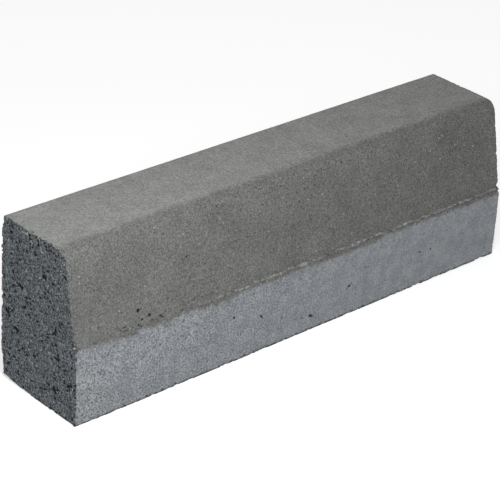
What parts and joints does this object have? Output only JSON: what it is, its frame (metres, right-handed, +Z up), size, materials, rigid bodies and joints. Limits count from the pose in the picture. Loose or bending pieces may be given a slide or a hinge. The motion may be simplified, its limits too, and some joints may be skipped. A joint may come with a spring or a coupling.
{
  "type": "concrete kerb stone",
  "caption": "Concrete road kerb stone: a long block with a flat base and back, a plumb lower road face, a small ledge, a battered upper face and a rounded top edge.",
  "frame": {"origin": "centre of the flat base, midway along the stone's length", "axes": "+Z up, X along the kerb, +Y towards the back (the pavement), so that the battered road face looks towards -Y"},
  "size_m": [1, 0.2, 0.3],
  "materials": {
    "concrete": "matte vibro-pressed concrete, fine sandy facing on the top and batter, smoother core below, open texture on the ends"
  },
  "bodies": {
    "root": {"kerb_stone": "concrete"}
  },
  "joints": []
}
